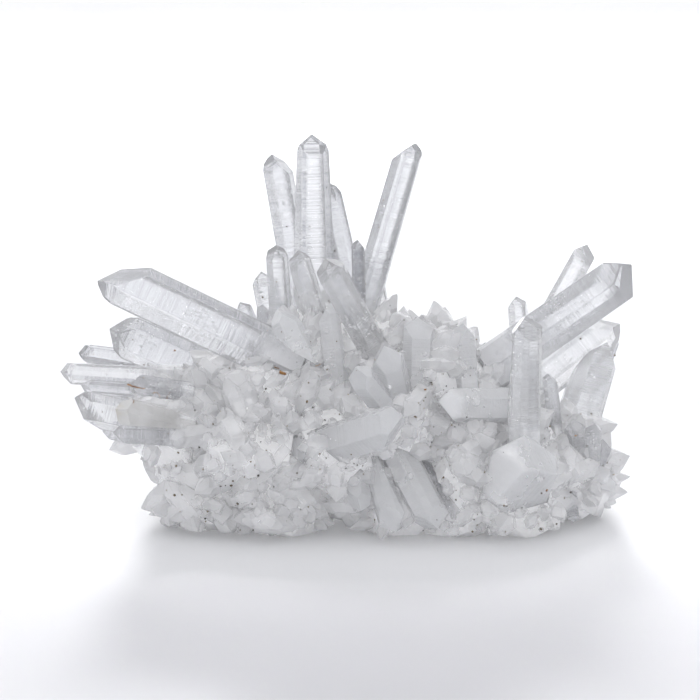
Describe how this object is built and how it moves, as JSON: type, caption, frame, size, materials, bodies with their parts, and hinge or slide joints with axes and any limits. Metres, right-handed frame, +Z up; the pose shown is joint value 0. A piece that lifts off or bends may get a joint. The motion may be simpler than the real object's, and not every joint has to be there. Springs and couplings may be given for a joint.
{
  "type": "quartz crystal cluster",
  "caption": "Natural clear quartz cluster: pointed six-sided crystals radiate from a milky quartz matrix that rests on its broken flat base.",
  "frame": {"origin": "centre of the flat broken base that the cluster rests on", "axes": "+X along the longest extent, to the viewer's right from the front; +Y to the back; +Z up"},
  "size_m": [0.1473, 0.0871, 0.0974],
  "materials": {
    "matrix_quartz": "milky, sparkling druse",
    "milky_quartz": "milky, glossy faces",
    "iron_stained_quartz": "warm stained, glossy faces",
    "clear_quartz": "clear, glossy faces"
  },
  "bodies": {
    "root": {"matrix": "matrix_quartz", "rear_spire_centre": "clear_quartz", "rear_spire_right": "clear_quartz", "rear_spire_left": "clear_quartz", "rear_blade": "clear_quartz", "left_main": "clear_quartz", "left_second": "clear_quartz", "right_main": "clear_quartz", "right_second": "clear_quartz", "right_rear": "clear_quartz", "right_front_prism": "clear_quartz", "right_lower": "clear_quartz", "crown_front_prism": "clear_quartz", "crown_left_prism": "clear_quartz", "crown_outer_prism": "clear_quartz", "crown_low_prism": "clear_quartz", "crown_needle": "clear_quartz", "crown_right_prism": "clear_quartz", "crown_shoulder": "milky_quartz", "crown_middle": "milky_quartz", "left_back_spike": "clear_quartz", "crown_left_point": "clear_quartz", "left_low_front": "clear_quartz", "left_low_rear": "clear_quartz", "left_low_middle": "clear_quartz", "left_low_point": "clear_quartz", "left_low_stub": "clear_quartz", "left_foot": "clear_quartz", "left_stained": "iron_stained_quartz", "left_clear_knob": "clear_quartz", "right_lower_edge": "clear_quartz", "right_rear_small": "clear_quartz", "right_tiny": "clear_quartz", "right_step_inner": "clear_quartz", "right_step_outer": "clear_quartz", "right_corner": "clear_quartz", "right_end_block": "milky_quartz", "right_lying": "milky_quartz", "right_milky_block": "milky_quartz", "centre_column": "milky_quartz", "centre_right_column": "milky_quartz", "front_head": "milky_quartz", "front_head_left": "milky_quartz", "front_diagonal": "milky_quartz", "front_fan_long": "milky_quartz", "front_fan_blade": "milky_quartz", "front_fan_edge": "clear_quartz", "front_fan_left": "milky_quartz", "right_foot_spike": "clear_quartz", "back_long": "clear_quartz", "back_left_long": "clear_quartz", "back_right_long": "clear_quartz", "back_left_short": "clear_quartz", "back_right_short": "clear_quartz", "back_low_left": "milky_quartz", "back_low_middle": "milky_quartz", "back_low_right": "milky_quartz", "back_far_right": "milky_quartz"}
  },
  "joints": []
}
